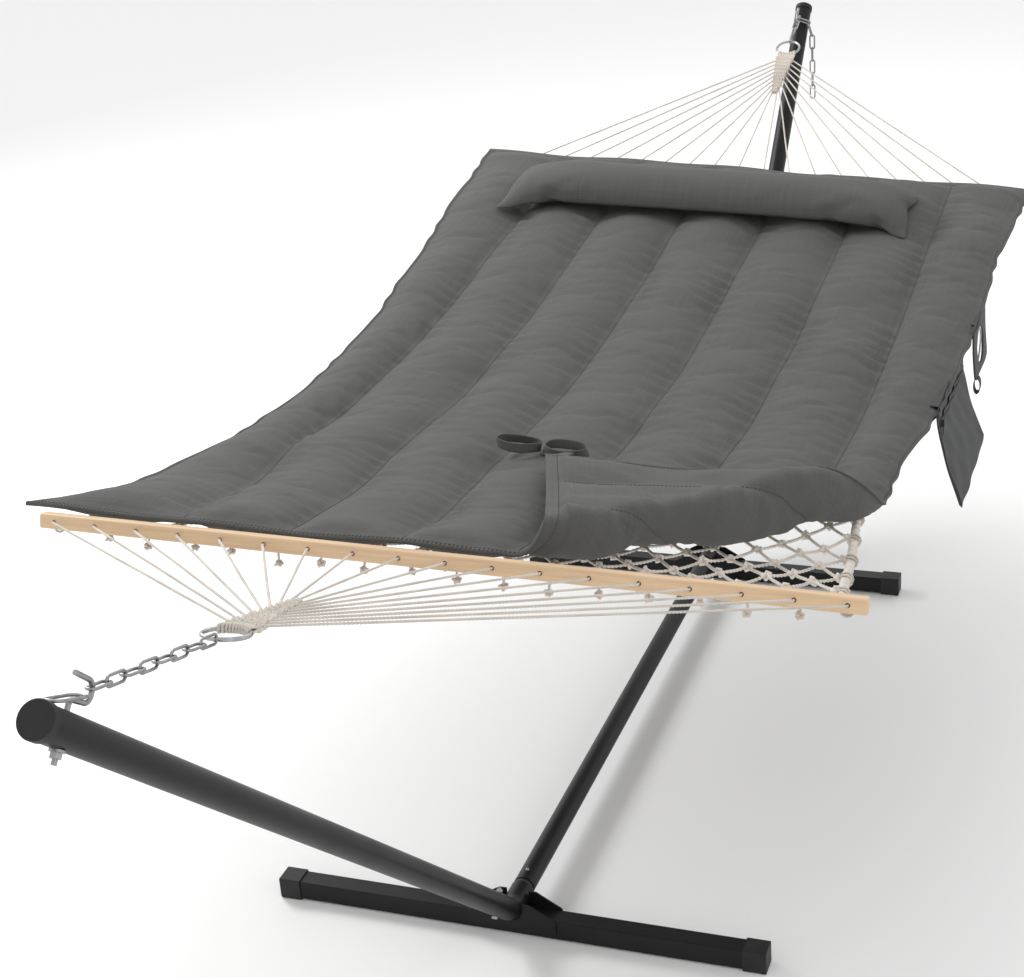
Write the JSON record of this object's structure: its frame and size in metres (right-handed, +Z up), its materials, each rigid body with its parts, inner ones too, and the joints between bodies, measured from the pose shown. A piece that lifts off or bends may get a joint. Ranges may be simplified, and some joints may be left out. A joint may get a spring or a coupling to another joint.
{
  "type": "hammock on stand",
  "caption": "Double hammock with wooden spreader bars, rope net, folded-back quilted pad and pillow, hung by chains from hooks on a black tubular steel stand.",
  "frame": {"origin": "on the floor at the middle of the stand", "axes": "+Z up, +Y along the hammock from the foot end to the pillow end, +X to the right of a person looking along +Y"},
  "size_m": [1.381, 3.9146, 1.1754],
  "materials": {
    "black_steel": "satin powder coat",
    "black_plastic": "moulded",
    "galvanised_steel": "galvanised",
    "plated_steel": "zinc plated",
    "spring_steel": "bright",
    "cotton_cord": "twisted cotton",
    "bar_wood": "clear varnish",
    "pad_fabric": "woven polyester",
    "pouch_fabric": "coated woven polyester",
    "zip_metal": "satin"
  },
  "bodies": {
    "stand": {"front_foot_tube": "black_steel", "front_foot_cap_left": "black_plastic", "front_foot_cap_right": "black_plastic", "front_foot_saddle": "black_steel", "front_arm_tube": "black_steel", "front_tube_cap": "black_plastic", "front_hook": "galvanised_steel", "front_hook_nut": "galvanised_steel", "front_hook_washer": "galvanised_steel", "front_arm_bolt": "galvanised_steel", "front_arm_bolt_nut": "galvanised_steel", "front_button_spring": "spring_steel", "rear_foot_tube": "black_steel", "rear_foot_cap_left": "black_plastic", "rear_foot_cap_right": "black_plastic", "rear_foot_saddle": "black_steel", "rear_arm_tube": "black_steel", "rear_tube_cap": "black_plastic", "rear_hook": "galvanised_steel", "rear_hook_nut": "galvanised_steel", "rear_hook_washer": "galvanised_steel", "rear_arm_bolt": "galvanised_steel", "rear_arm_bolt_nut": "galvanised_steel", "rear_button_spring": "spring_steel", "keel_tube": "black_steel", "rear_chain_bridge": "galvanised_steel"},
    "hammock": {"front_chain": "galvanised_steel", "front_ring": "plated_steel", "front_clew": "cotton_cord", "front_suspension_cords": "cotton_cord", "front_spreader_bar": "bar_wood", "front_bar_tails": "cotton_cord", "rear_chain": "galvanised_steel", "rear_ring": "plated_steel", "rear_clew": "cotton_cord", "rear_suspension_cords": "cotton_cord", "rear_spreader_bar": "bar_wood", "rear_bar_tails": "cotton_cord", "rope_net": "cotton_cord", "net_edge_rope_left": "cotton_cord", "net_edge_rope_right": "cotton_cord", "quilted_pad": "pad_fabric", "pillow": "pad_fabric", "pad_ties": "pad_fabric", "pouch_tapes": "pouch_fabric"},
    "chain_tail": {"rear_chain_tail": "galvanised_steel"},
    "end_link": {"front_end_link": "galvanised_steel"},
    "bag": {"magazine_bag": "pouch_fabric"},
    "bag_zip": {"magazine_bag_zip_pull": "zip_metal"},
    "cup_holder_panel": {"cup_holder": "pouch_fabric", "cup_ring": "plated_steel", "cup_strap_loop": "pouch_fabric"},
    "front_button": {"front_snap_button": "galvanised_steel"},
    "rear_button": {"rear_snap_button": "galvanised_steel"}
  },
  "joints": [
    {"name": "hammock_swing", "type": "hinge", "parent": "stand", "child": "hammock", "pos_m": [0, 0.00013, 1.13697], "axis": [0, 1, -0.0002], "range_deg": [-25, 25]},
    {"name": "chain_tail_swing", "type": "hinge", "parent": "stand", "child": "chain_tail", "pos_m": [0.03469, 1.87773, 1.09064], "axis": [0, 1, 0], "range_deg": [-60, 1]},
    {"name": "end_link_lift", "type": "hinge", "parent": "stand", "child": "end_link", "pos_m": [0, -1.8592, 1.1399], "axis": [1, 0, 0], "range_deg": [-100, 0]},
    {"name": "magazine_bag_swing", "type": "hinge", "parent": "hammock", "child": "bag", "pos_m": [0.6335, 0.16, 0.762], "axis": [0, 1, 0], "range_deg": [-70, 20]},
    {"name": "zip_slide", "type": "slide", "parent": "bag", "child": "bag_zip", "axis": [0, 1, 0], "range_m": [0, 0.3]},
    {"name": "cup_holder_swing", "type": "hinge", "parent": "hammock", "child": "cup_holder_panel", "pos_m": [0.6555, 0.478, 0.786], "axis": [0, 1, 0], "range_deg": [-90, 12]},
    {"name": "front_button_press", "type": "slide", "parent": "stand", "child": "front_button", "axis": [0, 0, -1], "range_m": [0, 0.005], "stiffness_N_per_m": 800, "springref_m": -0.002, "deforming": ["front_button_spring"]},
    {"name": "rear_button_press", "type": "slide", "parent": "stand", "child": "rear_button", "axis": [0, 0, -1], "range_m": [0, 0.005], "stiffness_N_per_m": 800, "springref_m": -0.002, "deforming": ["rear_button_spring"]}
  ]
}
